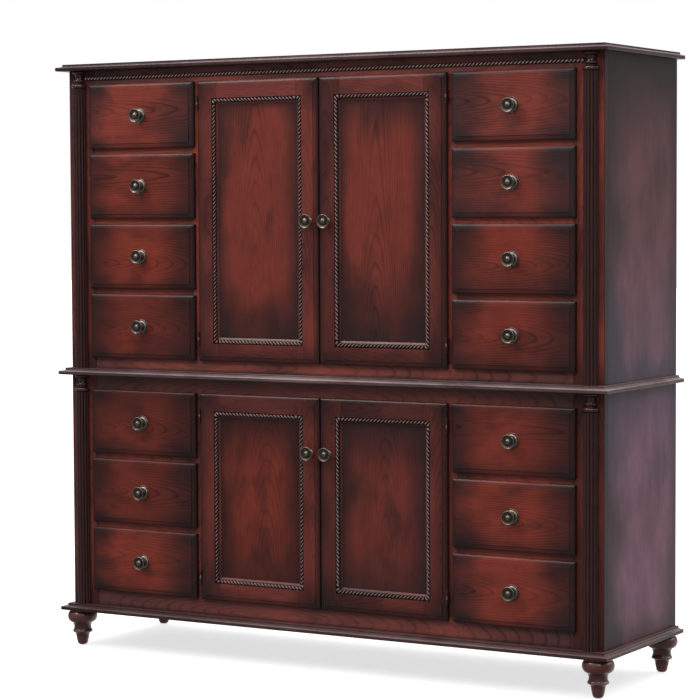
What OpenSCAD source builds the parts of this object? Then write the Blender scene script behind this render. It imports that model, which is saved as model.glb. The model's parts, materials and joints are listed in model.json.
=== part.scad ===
// Two-tier dresser in stained cherry: a lower case of drawers and doors on turned feet, with a
// taller case stacked on it. X runs along the width, Y from the front to the back, Z up.
// Sub-parts are drawn with y = 0 on the front of the face frames; placed() moves them so that
// the origin lies on the floor under the middle of the whole.

/* [Cases] */
// Width of both cases, outside to outside
case_w = 1660; // [1500:1:1800]
// Depth of both cases, from the front of the face frame to the back edge
case_d = 460; // [400:1:560]
// Thickness of the sides, partitions, bottoms and shelves
board = 19; // [16:0.5:22]
// Thickness of the face frames
frame_t = 19; // [16:0.5:22]
// Thickness of the back panels
back_t = 6; // [4:0.5:9]
// Distance of the back panels from the back edge of the cases
back_inset = 4; // [1:0.5:10]
// Visible width of the flat strip outside each half column
corner_strip = 15.5; // [8:0.5:30]
// Visible width of the outer stile between the drawer fronts and the half column
stile_strip = 18.5; // [10:0.5:30]
// Visible width of the divider between the doors and the drawer fronts
divider_strip = 14.5; // [10:0.5:20]
// Height of the lower case's rail under the fronts
base_rail = 44; // [35:1:70]
// Height of the lower case's rail over the fronts
waist_rail = 40; // [30:1:70]
// Height of the upper case's rail under the fronts
upper_bottom_rail = 31; // [31:1:60]
// Height of the upper case's frieze rail over the fronts
frieze_rail = 40; // [36:1:70]
// Gap left in each glued joint between two boards
seam = 0.2; // [0.1:0.05:0.4]

/* [Mouldings] */
// Thickness of the top, waist and base mouldings
mould_t = 19; // [17:0.5:25]
// How far the mouldings stand out in front of the face frame
front_overhang = 36; // [30:0.5:45]
// How far the mouldings stand out at each side
side_overhang = 23.5; // [18:0.5:35]
// Distance from the moulding's lip to its upper step
mould_step_in = 14.6; // [10:0.2:18]
// Height of the upper step
mould_step_h = 4; // [2:0.5:5]
// Height of the rounded lip
mould_lip_h = 11; // [8:0.5:12]

/* [Drawers] */
// Rows of drawers at each side of the upper case
upper_rows = 4; // [2:1:4]
// Rows of drawers at each side of the lower case
lower_rows = 3; // [2:1:3]
// Width of a drawer front
drawer_w = 352; // [300:0.5:370]
// Height of a drawer front
drawer_h = 180; // [150:1:200]
// Gap between the drawer fronts of two rows
row_gap = 16; // [12:1:30]
// Thickness of the drawer box's sides and back
box_t = 12; // [10:0.5:15]
// Length of the drawer box behind its front
box_l = 415; // [350:1:420]
// Distance from the top of the opening to the top of the drawer box
box_drop = 9; // [5:1:25]
// Thickness of the drawer bottom
bottom_t = 6; // [4:0.5:8]
// Height of the drawer bottom's groove above the box's lower edge
groove_up = 9; // [6:0.5:14]
// Depth of the groove for the drawer bottom
groove_d = 5; // [3:0.5:7]
// Dovetails at each corner of a drawer box
tails = 4; // [3:1:5]
// Slope of a dovetail's sides, as a length over a width
tail_slope = 6; // [5:0.5:8]
// Running clearance round the drawer box
fit_clear = 0.5; // [0.3:0.1:0.8]
// Width of the ledge that carries a drawer side
ledge_w = 25; // [18:1:35]
// Thickness of the ledges
ledge_t = 18; // [12:0.5:19]
// Height of the strip that guides a drawer side
guide_h = 25; // [15:1:40]
// Thickness of the strip that guides a drawer side
guide_t = 12; // [10:0.5:18]

/* [Front edges] */
// How far drawer fronts and doors stand in front of the face frame
front_proud = 16; // [15:0.25:18]
// Thickness of the lip at its outer edge, measured from the face frame
lip_edge = 9; // [7:0.25:10]
// Width of the moulded edge
edge_w = 13.5; // [10:0.5:14]
// Height of the small step where the moulded edge meets the flat field
edge_step = 2; // [1:0.25:3]
// How far a lip covers the face frame
overlap = 10; // [8:0.5:12]
// Depth of the part that enters the opening
rabbet_d = 8; // [7:0.5:10]
// Gap between the back of a drawer's lip and the face frame
drawer_lip_gap = 0.5; // [0.3:0.1:0.9]

/* [Doors] */
// Gap between the two doors of a pair
meeting_gap = 3; // [2:0.5:5]
// Visible width of a door's stiles, from the lip to the rope
stile_face = 49; // [40:0.5:60]
// Visible width of a door's rails, from the lip to the rope
rail_face = 48; // [40:0.5:60]
// Width of the step between the rope and the panel
inner_step_w = 5; // [3:0.5:8]
// Depth of that step below the door's face
inner_step_d = 5.75; // [5:0.25:5.75]
// How far the step falls towards the panel
inner_step_fall = 2.5; // [1:0.1:2.5]
// Depth of the panel's front below the door's face
panel_recess = 9; // [9:0.5:12]
// Thickness of the panel
panel_t = 6; // [5:0.5:7]
// Depth of the panel's groove
panel_groove = 8; // [6:0.5:12]
// Clearance round the panel in its groove
panel_clear = 0.3; // [0.2:0.05:0.5]
// Gap between the back of a door's lip and the face frame, where the hinge leaf lies
door_lip_gap = 1.6; // [1.6:0.1:2]

/* [Rope moulding] */
// Width of the rope moulding
rope_w = 12; // [9:0.5:14]
// Height of the rope moulding over its seat
rope_h = 6; // [4:0.25:7]
// Length of one strand along the rope
rope_pitch = 11; // [10:0.5:20]
// Depth of the valley between two strands
rope_valley = 2.8; // [1:0.1:3]
// Depth of the rope's seat below the door's face
rope_seat = 5; // [4:0.25:6]
// Height of the frieze rope's lower edge over the drawer fronts
frieze_rope_up = 12; // [11:0.5:20]
// How far each end of the frieze rope runs in past the half column's inner side
frieze_rope_in = 3; // [0:0.5:3]

/* [Knobs] */
// Diameter of a knob's face
knob_d = 37; // [30:0.5:42]
// Length of a knob without its screw
knob_len = 27; // [24:0.5:32]
// Diameter of a knob's foot
knob_foot_d = 20; // [16:0.5:24]
// Diameter of the backplate under a drawer's knob
plate_d = 42; // [34:0.5:48]
// Height of the backplate's dome
plate_h = 6.5; // [5:0.5:9]
// Thickness of the backplate under the knob's foot
plate_t = 2; // [1.5:0.25:3]
// Gap between the knob's foot and the backplate
plate_clear = 0.2; // [0.1:0.05:0.4]
// Diameter of the knob's screw
screw_d = 4; // [3:0.25:5]
// Diameter of the screw's head
screw_head_d = 9; // [8:0.5:12]
// Height of the screw's head
screw_head_h = 3; // [2:0.25:4]
// Clearance of the screw in its bore
screw_clear = 0.3; // [0.2:0.05:0.5]
// Distance of a door knob's centre from the middle of the pair
door_knob_x = 28; // [26:0.5:36]
// Distance of the lower door knobs below the top of the door
lower_knob_drop = 149; // [100:1:250]

/* [Hinges] */
// Distance of a hinge's middle from the end of the door
hinge_in = 61; // [40:1:100]
// Length of a hinge's barrel without its tips
hinge_l = 32; // [28:0.5:60]
// Length of the middle knuckle
knuckle_l = 8; // [6:0.5:16]
// Diameter of the barrel
barrel_d = 5; // [4.6:0.1:5.4]
// Diameter of the pin
pin_d = 2.2; // [2:0.1:2.6]
// Clearance between the pin and its knuckles
pin_clear = 0.1; // [0.08:0.01:0.2]
// Gap between two knuckles
knuckle_gap = 0.5; // [0.3:0.05:0.8]
// Thickness of the leaves
leaf_t = 1; // [0.7:0.1:1]
// How far a leaf's leg lies inside the barrel's outline
leg_in = 0.2; // [0.1:0.05:0.4]
// How far the barrel's axis lies inside the door's lip
axis_in = 0.5; // [0:0.1:1]
// How far the barrel's axis lies in front of the face frame
axis_out = 14.4; // [14.4:0.1:16]
// Clearance at the door's hinge side, where both leaves lie
hinge_side_clear = 3.2; // [3:0.1:4]
// Width of the door leaf behind the door
leaf_w = 22; // [15:0.5:30]

/* [Half columns] */
// Width of a half column, which is also its diameter
column_w = 42.5; // [36:0.5:50]
// Reeds across the half column
reeds = 7; // [5:1:9]
// Radius of a reed
reed_r = 4.3; // [4:0.1:5]
// Height of a capital
capital_h = 49; // [40:1:60]
// Width of the capital's lower bead, against the column's
bead_out = 1.1; // [1:0.01:1.2]

/* [Feet] */
// Height of a foot
foot_h = 102; // [80:1:140]
// Widest diameter of a foot
foot_d = 84; // [60:1:88]
// Distance of a foot's centre from the moulding's side and front
foot_in = 44; // [44:0.5:60]
// Distance of a back foot's centre from the back edge
foot_back_in = 44; // [44:0.5:60]

/* [Shelves] */
// Clearance at each end of a shelf
shelf_clear = 0.5; // [0.3:0.1:0.9]
// Setback of a shelf's front from the face frame's back
shelf_set = 15; // [5:1:60]
// Diameter of a shelf pin
shelf_pin_d = 6; // [5:0.5:8]
// Depth of a shelf pin's bore
shelf_pin_in = 10; // [8:0.5:12]
// How far a shelf pin stands out of the partition
shelf_pin_out = 9; // [7:0.5:14]
// Clearance of a shelf pin in its bore
shelf_pin_clear = 0.1; // [0.05:0.05:0.2]
// Distance of the pins from the shelf's front and back edges
pin_edge = 45; // [30:1:90]
// Distance between the bores above and below a pin
pin_step = 32; // [25:1:40]
// Shelves behind the upper doors
upper_shelves = 2; // [1:1:3]
// Shelves behind the lower doors
lower_shelves = 1; // [1:1:2]

/* [Hidden] */
$fn = 64;
half_w = case_w / 2;
knob_reach = knob_len + plate_t + plate_clear;
front_reach = max(front_overhang, front_proud + knob_reach);
back_y = case_d - back_inset - back_t;
tier_names = ["lower", "upper"];
tier_rows = [lower_rows, upper_rows];
tier_shelves = [lower_shelves, upper_shelves];
lower_rail = [base_rail, upper_bottom_rail];
upper_rail = [waist_rail, frieze_rail];
function fronts_h(t) = tier_rows[t] * drawer_h + (tier_rows[t] - 1) * row_gap;
function case_h(t) = lower_rail[t] + fronts_h(t) + upper_rail[t];
function case_z(t) = foot_h + mould_t + (t == 0 ? 0 : case_h(0) + mould_t);
function case_top(t) = case_z(t) + case_h(t);
function fronts_z(t) = case_z(t) + lower_rail[t];
function fronts_top(t) = fronts_z(t) + fronts_h(t);
function row_z(t, row) = fronts_top(t) - row * drawer_h - (row - 1) * row_gap;
// Places across the width, from the middle of the piece
column_x = half_w - corner_strip - column_w / 2;
drawer_x = half_w - corner_strip - column_w - stile_strip - drawer_w;
door_x = meeting_gap / 2;
door_w = drawer_x - divider_strip - door_x;
open_in = drawer_x + overlap;
open_out = drawer_x + drawer_w - overlap;
door_open = door_x + door_w - overlap;
// Sections of the front edges
function arc(cx, cy, rx, ry, a0, a1, n) =
    [for (i = [0 : n]) [cx + rx * cos(a0 + (a1 - a0) * i / n), cy + ry * sin(a0 + (a1 - a0) * i / n)]];
edge_low = front_proud - edge_step;
function moulded_edge() = concat(arc(edge_w, -lip_edge, edge_w, edge_low - lip_edge, 180, 270, 6),
    [[edge_w, -front_proud]]);
function lipped_edge(inset, gap) = concat([[inset, rabbet_d], [inset, -gap], [0, -gap]], moulded_edge());
function meeting_edge() = concat([[0, rabbet_d]], moulded_edge());
function far_side(points, w) = [for (i = [len(points) - 1 : -1 : 0]) [w - points[i][0], points[i][1]]];
function both_sides(left, right, w) = concat(left, far_side(right, w));
// The drawer box in its opening
box_w = open_out - open_in - 2 * fit_clear;
box_h = drawer_h - 2 * overlap - box_drop - fit_clear;
box_x = open_in + fit_clear;
box_z = overlap + fit_clear;
tail_pitch = box_h / tails;
tail_root = tail_pitch * 0.5;
box_end = rabbet_d + box_l;
// The door's members
member_w = stile_face + rope_w + inner_step_w;
rail_w = rail_face + rope_w + inner_step_w;
seat_y = rope_seat - front_proud;
panel_y = panel_recess - front_proud;
hinge_x = door_x + door_w - axis_in;
hinge_y = -axis_out;
leg_x = hinge_x + barrel_d / 2 - leg_in;
leaf_back_x = door_open - hinge_side_clear;
function hinge_zs(t) = [fronts_z(t) + hinge_in, fronts_top(t) - hinge_in];
function door_knob_z(t) = t == 0 ? fronts_top(t) - lower_knob_drop : fronts_z(t) + fronts_h(t) / 2;
// The shelves
comp_x = open_in - board;
shelf_y = frame_t + shelf_set;
comp_z = [for (t = [0, 1]) fronts_z(t) + overlap];
comp_h = [for (t = [0, 1]) fronts_h(t) - 2 * overlap];
function shelf_z(t, i) = comp_z[t] + comp_h[t] * i / (tier_shelves[t] + 1) - board / 2;
function pin_z(t, i) = shelf_z(t, i) - shelf_pin_d / 2 - seam;
pin_ys = [shelf_y + pin_edge, back_y - pin_edge];

CHERRY = [0.36, 0.10, 0.07];
DARK_CHERRY = [0.18, 0.06, 0.05];
MAPLE = [0.80, 0.64, 0.42];
PEWTER = [0.45, 0.43, 0.40];
BRONZE = [0.25, 0.20, 0.15];

function side_name(s) = s < 0 ? "left" : "right";
function drawer_name(t, s, row) = str(tier_names[t], "_", side_name(s), "_drawer_", row);
function door_name(t, s) = str(tier_names[t], "_", side_name(s), "_door");
drawer_nodes = [for (t = [0, 1]) for (s = [-1, 1]) for (row = [1 : tier_rows[t]])
    for (part = ["", "_knob"]) str(drawer_name(t, s, row), part)];
door_nodes = [for (t = [0, 1]) for (s = [-1, 1])
    for (part = ["_frame", "_panel", "_rope", "_knob", "_hinges"]) str(door_name(t, s), part)];

// Moves a sub-part from the face frame's plane to the floor's middle
module placed() {
    translate([0, (front_reach - case_d) / 2, 0]) children();
}

// Draws a right-hand sub-part at its own side
module sided(s) {
    mirror([s < 0 ? 1 : 0, 0, 0]) children();
}

module both() {
    for (s = [-1, 1]) sided(s) children();
}

// A board between two corners, smaller by half a seam on every face
module plank(low, high) {
    translate([for (i = [0 : 2]) low[i] + seam / 2]) cube([for (i = [0 : 2]) high[i] - low[i] - seam]);
}

// Extrudes a section drawn in y and z along x
module along_x(length) {
    rotate([90, 0, 90]) linear_extrude(length) children();
}

// Extrudes a section drawn in x and z along y
module along_y(length) {
    translate([0, length, 0]) rotate([90, 0, 0]) linear_extrude(length) children();
}

// A full board whose front and side edges are moulded and whose back edge is plain
module moulded_board(z) {
    nose_r = 3;
    cove_h = mould_t - mould_step_h - mould_lip_h;
    edge = concat(arc(nose_r, nose_r, nose_r, nose_r, 270, 180, 4),
        arc(nose_r, mould_lip_h - nose_r, nose_r, nose_r, 180, 90, 4),
        arc(nose_r, mould_lip_h + cove_h, mould_step_in - nose_r, cove_h, 270, 360, 5),
        [[mould_step_in, mould_t]]);
    full_w = case_w + 2 * side_overhang;
    full_d = case_d + front_overhang;
    intersection() {
        translate([-full_w / 2, -front_overhang, z]) along_x(full_w)
            polygon(concat(edge, [[full_d, mould_t], [full_d, 0]]));
        translate([-full_w / 2, -front_overhang, z]) along_y(full_d)
            polygon(both_sides(edge, edge, full_w));
    }
}

module base_moulding() {
    color(DARK_CHERRY) moulded_board(foot_h);
}

module waist_moulding() {
    color(DARK_CHERRY) moulded_board(case_top(0));
}

module top_board() {
    color(DARK_CHERRY) moulded_board(case_top(1));
}

// One turned foot: a round toe, a tapering ankle, a ridge between two hollows, and a bulb
module foot() {
    r = foot_d / 2;
    h = foot_h;
    rotate_extrude() polygon(concat(
        [[0, 0]],
        arc(r * 0.14, h * 0.12, r * 0.23, h * 0.12, 270, 350, 5),
        arc(r * 0.64, h * 0.22, r * 0.21, h * 0.14, 180, 95, 6),
        arc(r * 0.64, h * 0.39, r * 0.03, h * 0.02, 290, 430, 4),
        arc(r * 0.69, h * 0.52, r * 0.11, h * 0.11, 250, 180, 5),
        arc(r * 0.82, h * 0.52, r * 0.24, h * 0.14, 180, 97, 6),
        arc(r * 0.59, h * 0.815, r * 0.41, h * 0.185, 300, 410, 11),
        [[r * 0.84, h], [0, h]]));
}

module feet() {
    x = half_w + side_overhang - foot_in;
    color(DARK_CHERRY) for (y = [foot_in - front_overhang, case_d - foot_back_in])
        both() translate([x, y, 0]) foot();
}

// Strips inside a case, which carry, guide and hold down one drawer row at one side
module drawer_ledges(z) {
    plank([open_in, frame_t, z - ledge_t], [open_in + ledge_w, back_y, z]);
    plank([open_out - ledge_w, frame_t, z - ledge_t], [half_w - board, back_y, z]);
}

module drawer_guide(z) {
    plank([open_out, frame_t, z], [open_out + guide_t, back_y, z + guide_h]);
}

// A partition between the doors and the drawers, with the bores for the shelf pins
module partition(t) {
    difference() {
        plank([comp_x, frame_t, comp_z[t]], [open_in, back_y, case_top(t)]);
        for (i = [1 : tier_shelves[t]], step = [-1 : 1], y = pin_ys)
            translate([comp_x, y, pin_z(t, i) + step * pin_step]) rotate([0, 90, 0])
                cylinder(d = shelf_pin_d + 2 * shelf_pin_clear, h = shelf_pin_in);
    }
}

module carcase(t) {
    z = case_z(t);
    floor_z = comp_z[t];
    color(CHERRY) {
        both() {
            plank([half_w - board, frame_t, z], [half_w, case_d, case_top(t)]);
            partition(t);
            for (row = [1 : tier_rows[t] - 1]) drawer_ledges(row_z(t, row) + overlap);
            for (row = [1 : tier_rows[t]]) drawer_guide(row_z(t, row) + overlap);
            drawer_ledges(fronts_top(t) - overlap + ledge_t);
        }
        plank([board - half_w, frame_t, floor_z - board], [half_w - board, back_y, floor_z]);
        plank([board - half_w, back_y, z], [half_w - board, back_y + back_t, case_top(t)]);
    }
}

module lower_carcase() {
    carcase(0);
}

module upper_carcase() {
    carcase(1);
}

// Stiles, rails and dividers of one case's front
module face_frame(t) {
    z = case_z(t);
    low = fronts_z(t) + overlap;
    high = fronts_top(t) - overlap;
    color(CHERRY) {
        both() {
            plank([open_out, 0, z], [half_w, frame_t, case_top(t)]);
            plank([door_open, 0, low], [open_in, frame_t, high]);
            for (row = [1 : tier_rows[t] - 1])
                plank([open_in, 0, row_z(t, row) - row_gap - overlap],
                    [open_out, frame_t, row_z(t, row) + overlap]);
        }
        plank([-open_out, 0, z], [open_out, frame_t, low]);
        plank([-open_out, 0, high], [open_out, frame_t, case_top(t)]);
    }
}

module lower_face_frame() {
    face_frame(0);
}

module upper_face_frame() {
    face_frame(1);
}

// A reeded half column: reeds round a half-round core, cut flat at the back
module column_shaft(length) {
    reed_at = column_w / 2 - reed_r;
    linear_extrude(length - seam) intersection() {
        union() {
            circle(r = reed_at);
            for (i = [0.5 : 1 : reeds - 0.5])
                rotate(-180 * i / reeds) translate([reed_at, 0]) circle(r = reed_r);
        }
        translate([-column_w, -column_w - seam / 2]) square([2 * column_w, column_w]);
    }
}

// Half of a turned capital: two beads with a ring between them, and a hollow neck under a round plate
module capital() {
    r = column_w / 2;
    h = capital_h - seam / 2;
    bead = r * bead_out;
    translate([0, -seam / 2, 0]) rotate([0, 0, 180]) rotate_extrude(angle = 180) polygon(concat(
        [[0, 0]],
        arc(bead * 0.82, h * 0.13, bead * 0.18, h * 0.11, 260, 450, 8),
        arc(r * 0.72, h * 0.28, r * 0.06, h * 0.02, 270, 450, 4),
        arc(r * 0.62, h * 0.43, r * 0.20, h * 0.09, 260, 450, 8),
        arc(r * 0.96, h * 0.57, r * 0.38, h * 0.26, 180, 105, 7),
        arc(r * 0.96, h * 0.91, r * 0.04, h * 0.05, 270, 450, 4),
        [[r * 0.90, h], [0, h]]));
}

module half_columns() {
    color(DARK_CHERRY) both() for (t = [0, 1]) translate([column_x, 0, case_z(t)]) {
        column_shaft(case_h(t) - capital_h);
        translate([0, 0, case_h(t) - capital_h]) capital();
    }
}

// Rope moulding. A row of four points crosses the rope, low in a valley and high on a strand.
function rope_row(odd) = [for (p = [[-0.5, 0], [-0.2, 1], [0.2, 1], [0.5, 0]])
    [p[0] * (odd ? 1 : 0.88) * (rope_w - seam), p[1] * (odd ? rope_h : rope_h - rope_valley)]];
// How far a row leans: the strands lie at 45 degrees, and turn within two strands of an end
function lean(k, n, first, last) = k < 4 ? first + (1 - first) * k / 4 :
    k > n - 4 ? last + (1 - last) * (n - k) / 4 : 1;
function rope_rows(length) = 2 * round(length / rope_pitch);
// The rows along one stretch, as points in the rope's own plane with the height last
function rope_stretch(start, dir, length, first, last, count) =
    let (n = rope_rows(length), across = [-dir[1], dir[0]])
    [for (k = [0 : count - 1]) for (p = rope_row(k % 2 == 1))
        let (run = length * k / n + lean(k, n, first, last) * p[0])
        [start[0] + dir[0] * run + across[0] * p[0], start[1] + dir[1] * run + across[1] * p[0], p[1]]];
function rope_faces(rows, closed) = [for (k = [0 : rows - (closed ? 1 : 2)])
    let (a = 4 * k, b = 4 * ((k + 1) % rows))
    each [[a, b, b + 1], [a, b + 1, a + 1], [a + 1, b + 1, b + 2], [a + 1, b + 2, a + 2],
        [a + 2, b + 2, b + 3], [a + 2, b + 3, a + 3], [a + 3, b + 3, b], [a + 3, b, a]]];

// A closed rectangle of rope with mitred corners, drawn in x and z on the plane y = 0
module rope_rectangle(w, h) {
    corners = [[0, 0], [w, 0], [w, h], [0, h]];
    dirs = [[1, 0], [0, 1], [-1, 0], [0, -1]];
    points = [for (i = [0 : 3]) let (length = i % 2 == 0 ? w : h)
        each rope_stretch(corners[i], dirs[i], length, 1, -1, rope_rows(length))];
    rotate([90, 0, 0]) polyhedron(points, rope_faces(len(points) / 4, true), convexity = 4);
}

// A straight rope with square ends, drawn along x on the plane y = 0
module rope_line(w) {
    n = rope_rows(w);
    points = rope_stretch([0, 0], [1, 0], w, 0, 0, n + 1);
    faces = concat(rope_faces(n + 1, false), [[0, 1, 2, 3], [4 * n + 3, 4 * n + 2, 4 * n + 1, 4 * n]]);
    rotate([90, 0, 0]) polyhedron(points, faces, convexity = 4);
}

module frieze_rope() {
    w = 2 * (column_x - column_w / 2 + frieze_rope_in);
    color(DARK_CHERRY) translate([-w / 2, 0, fronts_top(1) + frieze_rope_up + rope_w / 2]) rope_line(w);
}

module shelves() {
    for (t = [0, 1], i = [1 : tier_shelves[t]]) {
        color(CHERRY) translate([shelf_clear - comp_x, shelf_y, shelf_z(t, i)])
            cube([2 * (comp_x - shelf_clear), back_y - shelf_y - shelf_clear, board]);
        color(PEWTER) both() for (y = pin_ys)
            translate([comp_x - shelf_pin_out, y, pin_z(t, i)]) rotate([0, 90, 0])
                cylinder(d = shelf_pin_d, h = shelf_pin_out + shelf_pin_in - seam);
    }
}

// A turned knob with its screw, along y. Its foot is at y = 0, and wood is what the screw clamps:
// a round foot, a waist, a flared head with a rolled rim, and a dished face with a domed boss.
module knob(wood) {
    r = knob_d / 2;
    f = knob_foot_d / 2;
    l = knob_len;
    s = screw_d / 2;
    e = screw_head_d / 2;
    head = -wood - screw_head_h;
    rotate([90, 0, 0]) rotate_extrude() polygon(concat(
        [[0, head], [e * 0.7, head], [e, head + screw_head_h / 2], [e, -wood], [s, -wood], [s, 0],
        [f, 0], [f, l * 0.06]],
        arc(f, l * 0.40, f * 0.36, l * 0.32, 262, 180, 6),
        arc(r, l * 0.46, r - f * 0.64, l * 0.32, 180, 105, 7),
        arc(r * 0.94, l * 0.84, r * 0.06, l * 0.05, 280, 440, 6),
        arc(r * 0.48, l * 0.87, r * 0.40, l * 0.10, 360, 280, 7),
        [[r * 0.46, l * 0.80], [r * 0.45, l * 0.84], [r * 0.40, l * 0.85]],
        arc(0, l * 0.84, r * 0.37, l * 0.16, 8, 90, 7)));
}

// The domed backplate round a drawer knob's foot: a beaded edge, a groove and a dome with a well
module backplate() {
    p = plate_d / 2;
    well = knob_foot_d / 2 + plate_clear;
    hole = screw_d / 2 + screw_clear;
    rotate([90, 0, 0]) rotate_extrude() polygon(concat(
        [[hole, 0], [p, 0]],
        arc(p * 0.96, plate_h * 0.18, p * 0.04, plate_h * 0.16, 0, 150, 4),
        [[p * 0.91, plate_h * 0.22]],
        arc(well + 1, plate_h * 0.26, p * 0.88 - well - 1, plate_h * 0.74, 0, 90, 8),
        [[well, plate_h * 0.94], [well, plate_t], [hole, plate_t]]));
}

module drawer_knob(t, row) {
    color(PEWTER) translate([drawer_x + drawer_w / 2, -front_proud, row_z(t, row) + drawer_h / 2]) {
        translate([0, -seam / 2, 0]) backplate();
        translate([0, -plate_t - plate_clear, 0]) knob(front_proud + rabbet_d + plate_t + plate_clear);
    }
}

module knob_bore() {
    translate([0, -front_proud - 1, 0]) rotate([-90, 0, 0])
        cylinder(d = screw_d + 2 * screw_clear, h = front_proud + rabbet_d + 2);
}

// A lipped slab: its two sections, across and up, meet in mitred moulded edges
module lipped_slab(w, h, across, up) {
    intersection() {
        linear_extrude(h) polygon(across);
        translate([w, 0, 0]) rotate([0, -90, 0]) linear_extrude(w) polygon(up);
    }
}

// Dovetails that point to -y from the plane y = 0, over the height of the drawer box
module dovetails(length, thick, spare) {
    flare = length / tail_slope;
    for (i = [0 : tails - 1]) translate([0, 0, (i + 0.5) * tail_pitch]) rotate([90, 0, 90])
        linear_extrude(thick) polygon([[spare, -tail_root / 2 - spare], [spare, tail_root / 2 + spare],
            [-length, tail_root / 2 + flare + spare], [-length, -tail_root / 2 - flare - spare]]);
}

module drawer_front() {
    edge = lipped_edge(overlap + fit_clear, drawer_lip_gap);
    difference() {
        lipped_slab(drawer_w, drawer_h, both_sides(edge, edge, drawer_w), both_sides(edge, edge, drawer_h));
        translate([drawer_w / 2, 0, drawer_h / 2]) knob_bore();
        for (x = [overlap + fit_clear - 1, drawer_w - overlap - fit_clear - box_t - seam])
            translate([x, rabbet_d + 0.01, box_z]) dovetails(rabbet_d + 0.01, box_t + 1 + seam, seam / 2);
    }
}

// The right side of the drawer box, from x = 0 inwards to x = -box_t
module drawer_side() {
    difference() {
        union() {
            translate([-box_t, seam / 2, 0]) cube([box_t, box_l - box_t - seam, box_h]);
            translate([-box_t, seam / 2, 0]) dovetails(rabbet_d, box_t, 0);
            translate([0, box_l - box_t - seam / 2, 0]) mirror([0, 1, 0]) mirror([1, 0, 0])
                dovetails(box_t, box_t, 0);
        }
        translate([-box_t - 1, -rabbet_d - 1, groove_up])
            cube([groove_d + 1, box_l + 2 * rabbet_d, bottom_t + seam]);
    }
}

module drawer_back() {
    difference() {
        translate([0, box_l - box_t, groove_up + bottom_t + seam])
            cube([box_w, box_t, box_h - groove_up - bottom_t - seam]);
        for (x = [-1, box_w - box_t - seam]) translate([x, box_l - box_t, 0]) mirror([0, 1, 0])
            dovetails(box_t + 0.01, box_t + 1 + seam, seam / 2);
    }
}

module drawer(t, row) {
    translate([drawer_x, 0, row_z(t, row)]) {
        color(CHERRY) drawer_front();
        color(MAPLE) translate([box_x - drawer_x, rabbet_d, box_z]) {
            translate([box_w, 0, 0]) drawer_side();
            mirror([1, 0, 0]) drawer_side();
            drawer_back();
            translate([box_t - groove_d + seam, seam, groove_up + seam / 2])
                cube([box_w - 2 * (box_t - groove_d + seam), box_l - 2 * seam, bottom_t]);
        }
    }
}

// What every member of a door has along its inner edge: the rope's seat, the step and the groove
module door_cuts(w, h) {
    inner = [[member_w, rail_w], [w - member_w, h - rail_w]];
    module window(grow, y0, y1) {
        translate([inner[0][0] - grow, y0, inner[0][1] - grow])
            cube([inner[1][0] - inner[0][0] + 2 * grow, y1 - y0, inner[1][1] - inner[0][1] + 2 * grow]);
    }
    window(0, -front_proud - 1, rabbet_d + 1);
    window(inner_step_w + rope_w + seam / 2, -front_proud - 1, seat_y);
    hull() {
        window(0, -front_proud - 1, inner_step_d + inner_step_fall - front_proud);
        window(inner_step_w, -front_proud - 1, inner_step_d - front_proud);
    }
    window(panel_groove, panel_y - panel_clear, panel_y + panel_t + panel_clear);
}

module door_frame(t) {
    h = fronts_h(t);
    up_edge = lipped_edge(overlap + fit_clear, door_lip_gap);
    hinge_edge = lipped_edge(overlap + hinge_side_clear, door_lip_gap);
    across = both_sides(meeting_edge(), hinge_edge, door_w);
    up = both_sides(up_edge, up_edge, h);
    stiles = [[0, member_w], [door_w - member_w, door_w]];
    rails = [[0, rail_w], [h - rail_w, h]];
    module member(low, high) {
        difference() {
            intersection() {
                lipped_slab(door_w, h, across, up);
                plank([low[0], -front_proud - 1, low[1]], [high[0], rabbet_d + 1, high[1]]);
            }
            door_cuts(door_w, h);
            translate([door_knob_x - door_x, 0, door_knob_z(t) - fronts_z(t)]) knob_bore();
        }
    }
    color(CHERRY) translate([door_x, 0, fronts_z(t)]) {
        for (x = stiles) member([x[0], -seam], [x[1], h + seam]);
        for (z = rails) member([member_w, z[0] - seam / 2], [door_w - member_w, z[1] + seam / 2]);
    }
}

module door_panel(t) {
    reach = panel_groove - 2 * panel_clear;
    color(CHERRY) translate([door_x + member_w - reach, panel_y, fronts_z(t) + rail_w - reach])
        cube([door_w - 2 * (member_w - reach), panel_t, fronts_h(t) - 2 * (rail_w - reach)]);
}

module door_rope(t) {
    in_x = stile_face + rope_w / 2;
    in_z = rail_face + rope_w / 2;
    color(DARK_CHERRY) translate([door_x + in_x, seat_y - seam / 2, fronts_z(t) + in_z])
        rope_rectangle(door_w - 2 * in_x, fronts_h(t) - 2 * in_z);
}

module door_knob(t) {
    color(PEWTER) translate([door_knob_x, -front_proud, door_knob_z(t)]) knob(front_proud + rabbet_d);
}

module knuckle(length) {
    difference() {
        cylinder(d = barrel_d, h = length, center = true);
        cylinder(d = pin_d + 2 * pin_clear, h = length + 1, center = true);
    }
}

// The leg of a leaf that comes back from the barrel beside the lip, with its bore kept clear
module leaf_leg(length, to_y) {
    difference() {
        translate([leg_x - leaf_t, hinge_y, -length / 2]) cube([leaf_t, to_y - hinge_y, length]);
        translate([hinge_x, hinge_y, 0]) cylinder(d = pin_d + 2 * pin_clear, h = length + 1, center = true);
    }
}

// The door's half of a hinge: a middle knuckle, and a leaf round the lip to the back of the door
module door_leaf() {
    gap_y = seam / 2 - door_lip_gap;
    side_x = leaf_back_x + seam / 2;
    translate([hinge_x, hinge_y, 0]) knuckle(knuckle_l);
    leaf_leg(knuckle_l, gap_y + leaf_t);
    translate([side_x, gap_y, -knuckle_l / 2]) cube([leg_x - side_x, leaf_t, knuckle_l]);
    translate([side_x, gap_y, -knuckle_l / 2]) cube([leaf_t, rabbet_d - gap_y + seam / 2, knuckle_l]);
    translate([side_x - leaf_w, rabbet_d + seam / 2, -knuckle_l / 2])
        cube([leaf_w + leaf_t, leaf_t, knuckle_l]);
}

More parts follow.
